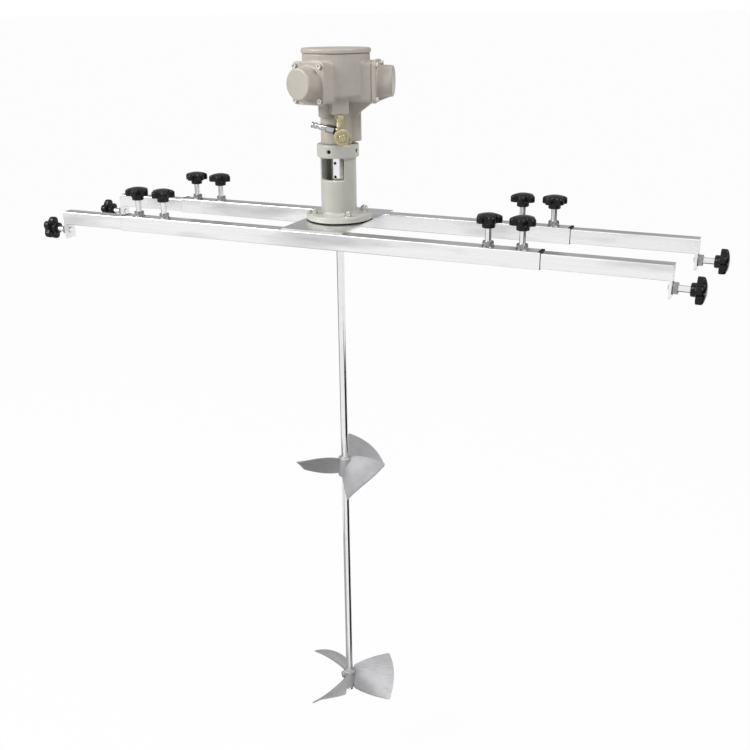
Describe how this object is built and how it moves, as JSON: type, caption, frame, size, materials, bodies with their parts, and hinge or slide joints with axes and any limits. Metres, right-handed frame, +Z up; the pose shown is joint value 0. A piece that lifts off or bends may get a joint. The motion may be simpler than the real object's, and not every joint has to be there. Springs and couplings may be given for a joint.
{
  "type": "tank agitator",
  "caption": "Air-motor tank agitator on telescoping cross beams with star-knob lock and clamp screws, a coupling column and a long shaft with twin propellers.",
  "frame": {"origin": "on the shaft axis, in the plane of the tank rim that the arms rest on", "axes": "+Z up along the shaft towards the motor, +X along the cross beams, -Y the side with the coupling window"},
  "size_m": [1.444, 0.2696, 1.4942],
  "materials": {
    "brushed_stainless": "brushed, satin",
    "polished_steel": "polished bar",
    "cast_stainless": "satin, polished casting",
    "black_plastic": "glossy moulded",
    "motor_paint": "semi-gloss paint on a casting",
    "column_paint": "semi-gloss paint on a casting",
    "brass": "machined",
    "plug_steel": "nickel plated",
    "zinc_steel": "zinc plated",
    "bearing_steel": "ground",
    "bronze": "machined bronze",
    "black_rubber": "matt"
  },
  "bodies": {
    "frame": {"air_plug": "plug_steel", "collar_screws": "zinc_steel", "column": "column_paint", "cover_screws": "zinc_steel", "flange_gasket": "black_rubber", "foot_bolts": "zinc_steel", "foot_nuts": "zinc_steel", "front_cylinder_cover": "motor_paint", "front_sleeve": "brushed_stainless", "lock_nuts": "brushed_stainless", "motor_bearing": "bearing_steel", "motor_body": "motor_paint", "mounting_plate": "brushed_stainless", "plug_ring": "black_rubber", "rear_cylinder_cover": "motor_paint", "rear_sleeve": "brushed_stainless", "right_cylinder_cover": "motor_paint", "shaft_bush": "bronze", "throttle_body": "brass", "top_lid": "motor_paint"},
    "rotor": {"agitator_shaft": "polished_steel", "coupling": "polished_steel", "motor_shaft": "polished_steel", "rotor_set_screws": "zinc_steel", "upper_propeller": "cast_stainless", "lower_propeller": "cast_stainless"},
    "throttle": {"throttle_knob": "brass"},
    "front_left_arm": {"front_left_arm": "brushed_stainless", "front_left_hook": "brushed_stainless"},
    "front_left_clamp": {"front_left_clamp_stud": "polished_steel"},
    "front_left_clamp_knob": {"front_left_clamp_knob": "black_plastic"},
    "front_right_arm": {"front_right_arm": "brushed_stainless", "front_right_hook": "brushed_stainless"},
    "front_right_clamp": {"front_right_clamp_stud": "polished_steel"},
    "front_right_clamp_knob": {"front_right_clamp_knob": "black_plastic"},
    "rear_left_arm": {"rear_left_arm": "brushed_stainless", "rear_left_hook": "brushed_stainless"},
    "rear_left_clamp": {"rear_left_clamp_stud": "polished_steel"},
    "rear_left_clamp_knob": {"rear_left_clamp_knob": "black_plastic"},
    "rear_right_arm": {"rear_right_arm": "brushed_stainless", "rear_right_hook": "brushed_stainless"},
    "rear_right_clamp": {"rear_right_clamp_stud": "polished_steel"},
    "rear_right_clamp_knob": {"rear_right_clamp_knob": "black_plastic"},
    "front_lock_1": {"front_lock_1_stud": "polished_steel"},
    "front_lock_1_knob": {"front_lock_1_knob": "black_plastic"},
    "front_lock_2": {"front_lock_2_stud": "polished_steel"},
    "front_lock_2_knob": {"front_lock_2_knob": "black_plastic"},
    "front_lock_3": {"front_lock_3_stud": "polished_steel"},
    "front_lock_3_knob": {"front_lock_3_knob": "black_plastic"},
    "front_lock_4": {"front_lock_4_stud": "polished_steel"},
    "front_lock_4_knob": {"front_lock_4_knob": "black_plastic"},
    "rear_lock_1": {"rear_lock_1_stud": "polished_steel"},
    "rear_lock_1_knob": {"rear_lock_1_knob": "black_plastic"},
    "rear_lock_2": {"rear_lock_2_stud": "polished_steel"},
    "rear_lock_2_knob": {"rear_lock_2_knob": "black_plastic"},
    "rear_lock_3": {"rear_lock_3_stud": "polished_steel"},
    "rear_lock_3_knob": {"rear_lock_3_knob": "black_plastic"},
    "rear_lock_4": {"rear_lock_4_stud": "polished_steel"},
    "rear_lock_4_knob": {"rear_lock_4_knob": "black_plastic"}
  },
  "joints": [
    {"name": "rotor_spin", "type": "hinge", "parent": "frame", "child": "rotor", "pos_m": [0, 0, 0], "axis": [0, 0, 1], "continuous": true},
    {"name": "throttle_turn", "type": "hinge", "parent": "frame", "child": "throttle", "pos_m": [0.03312, -0.05003, 0.2042], "axis": [0.5519, -0.8339, 0], "range_deg": [0, 270]},
    {"name": "front_left_arm_slide", "type": "slide", "parent": "frame", "child": "front_left_arm", "axis": [-1, 0, 0], "range_m": [-0.151, 0.178]},
    {"name": "front_left_clamp_feed", "type": "slide", "parent": "front_left_arm", "child": "front_left_clamp", "axis": [1, 0, 0], "range_m": [-0.00175, 0.0175]},
    {"name": "front_left_clamp_turn", "type": "hinge", "parent": "front_left_clamp", "child": "front_left_clamp_knob", "pos_m": [-0.653, -0.11, -0.014], "axis": [1, 0, 0], "range_deg": [-370, 3610]},
    {"name": "front_right_arm_slide", "type": "slide", "parent": "frame", "child": "front_right_arm", "axis": [1, 0, 0], "range_m": [-0.222, 0.107]},
    {"name": "front_right_clamp_feed", "type": "slide", "parent": "front_right_arm", "child": "front_right_clamp", "axis": [-1, 0, 0], "range_m": [-0.00175, 0.0175]},
    {"name": "front_right_clamp_turn", "type": "hinge", "parent": "front_right_clamp", "child": "front_right_clamp_knob", "pos_m": [0.724, -0.11, -0.014], "axis": [-1, 0, 0], "range_deg": [-370, 3610]},
    {"name": "rear_left_arm_slide", "type": "slide", "parent": "frame", "child": "rear_left_arm", "axis": [-1, 0, 0], "range_m": [-0.17, 0.159]},
    {"name": "rear_left_clamp_feed", "type": "slide", "parent": "rear_left_arm", "child": "rear_left_clamp", "axis": [1, 0, 0], "range_m": [-0.00175, 0.0175]},
    {"name": "rear_left_clamp_turn", "type": "hinge", "parent": "rear_left_clamp", "child": "rear_left_clamp_knob", "pos_m": [-0.672, 0.11, -0.014], "axis": [1, 0, 0], "range_deg": [-370, 3610]},
    {"name": "rear_right_arm_slide", "type": "slide", "parent": "frame", "child": "rear_right_arm", "axis": [1, 0, 0], "range_m": [-0.236, 0.093]},
    {"name": "rear_right_clamp_feed", "type": "slide", "parent": "rear_right_arm", "child": "rear_right_clamp", "axis": [-1, 0, 0], "range_m": [-0.00175, 0.0175]},
    {"name": "rear_right_clamp_turn", "type": "hinge", "parent": "rear_right_clamp", "child": "rear_right_clamp_knob", "pos_m": [0.738, 0.11, -0.014], "axis": [-1, 0, 0], "range_deg": [-370, 3610]},
    {"name": "front_lock_1_feed", "type": "slide", "parent": "frame", "child": "front_lock_1", "axis": [0, 0, 1], "range_m": [0, 0.0105]},
    {"name": "front_lock_1_turn", "type": "hinge", "parent": "front_lock_1", "child": "front_lock_1_knob", "pos_m": [-0.418, -0.11, 0.07], "axis": [0, 0, 1], "range_deg": [-10, 2170]},
    {"name": "front_lock_2_feed", "type": "slide", "parent": "frame", "child": "front_lock_2", "axis": [0, 0, 1], "range_m": [0, 0.0105]},
    {"name": "front_lock_2_turn", "type": "hinge", "parent": "front_lock_2", "child": "front_lock_2_knob", "pos_m": [-0.354, -0.11, 0.07], "axis": [0, 0, 1], "range_deg": [-10, 2170]},
    {"name": "front_lock_3_feed", "type": "slide", "parent": "frame", "child": "front_lock_3", "axis": [0, 0, 1], "range_m": [0, 0.0105]},
    {"name": "front_lock_3_turn", "type": "hinge", "parent": "front_lock_3", "child": "front_lock_3_knob", "pos_m": [0.418, -0.11, 0.07], "axis": [0, 0, 1], "range_deg": [-10, 2170]},
    {"name": "front_lock_4_feed", "type": "slide", "parent": "frame", "child": "front_lock_4", "axis": [0, 0, 1], "range_m": [0, 0.0105]},
    {"name": "front_lock_4_turn", "type": "hinge", "parent": "front_lock_4", "child": "front_lock_4_knob", "pos_m": [0.354, -0.11, 0.07], "axis": [0, 0, 1], "range_deg": [-10, 2170]},
    {"name": "rear_lock_1_feed", "type": "slide", "parent": "frame", "child": "rear_lock_1", "axis": [0, 0, 1], "range_m": [0, 0.0105]},
    {"name": "rear_lock_1_turn", "type": "hinge", "parent": "rear_lock_1", "child": "rear_lock_1_knob", "pos_m": [-0.418, 0.11, 0.07], "axis": [0, 0, 1], "range_deg": [-10, 2170]},
    {"name": "rear_lock_2_feed", "type": "slide", "parent": "frame", "child": "rear_lock_2", "axis": [0, 0, 1], "range_m": [0, 0.0105]},
    {"name": "rear_lock_2_turn", "type": "hinge", "parent": "rear_lock_2", "child": "rear_lock_2_knob", "pos_m": [-0.354, 0.11, 0.07], "axis": [0, 0, 1], "range_deg": [-10, 2170]},
    {"name": "rear_lock_3_feed", "type": "slide", "parent": "frame", "child": "rear_lock_3", "axis": [0, 0, 1], "range_m": [0, 0.0105]},
    {"name": "rear_lock_3_turn", "type": "hinge", "parent": "rear_lock_3", "child": "rear_lock_3_knob", "pos_m": [0.418, 0.11, 0.07], "axis": [0, 0, 1], "range_deg": [-10, 2170]},
    {"name": "rear_lock_4_feed", "type": "slide", "parent": "frame", "child": "rear_lock_4", "axis": [0, 0, 1], "range_m": [0, 0.0105]},
    {"name": "rear_lock_4_turn", "type": "hinge", "parent": "rear_lock_4", "child": "rear_lock_4_knob", "pos_m": [0.354, 0.11, 0.07], "axis": [0, 0, 1], "range_deg": [-10, 2170]}
  ],
  "couplings": [
    {"joint": "front_left_clamp_turn", "follows": "front_left_clamp_feed", "rad_per_m": 3590.4},
    {"joint": "front_right_clamp_turn", "follows": "front_right_clamp_feed", "rad_per_m": 3590.4},
    {"joint": "rear_left_clamp_turn", "follows": "rear_left_clamp_feed", "rad_per_m": 3590.4},
    {"joint": "rear_right_clamp_turn", "follows": "rear_right_clamp_feed", "rad_per_m": 3590.4},
    {"joint": "front_lock_1_turn", "follows": "front_lock_1_feed", "rad_per_m": 3590.4},
    {"joint": "front_lock_2_turn", "follows": "front_lock_2_feed", "rad_per_m": 3590.4},
    {"joint": "front_lock_3_turn", "follows": "front_lock_3_feed", "rad_per_m": 3590.4},
    {"joint": "front_lock_4_turn", "follows": "front_lock_4_feed", "rad_per_m": 3590.4},
    {"joint": "rear_lock_1_turn", "follows": "rear_lock_1_feed", "rad_per_m": 3590.4},
    {"joint": "rear_lock_2_turn", "follows": "rear_lock_2_feed", "rad_per_m": 3590.4},
    {"joint": "rear_lock_3_turn", "follows": "rear_lock_3_feed", "rad_per_m": 3590.4},
    {"joint": "rear_lock_4_turn", "follows": "rear_lock_4_feed", "rad_per_m": 3590.4}
  ]
}
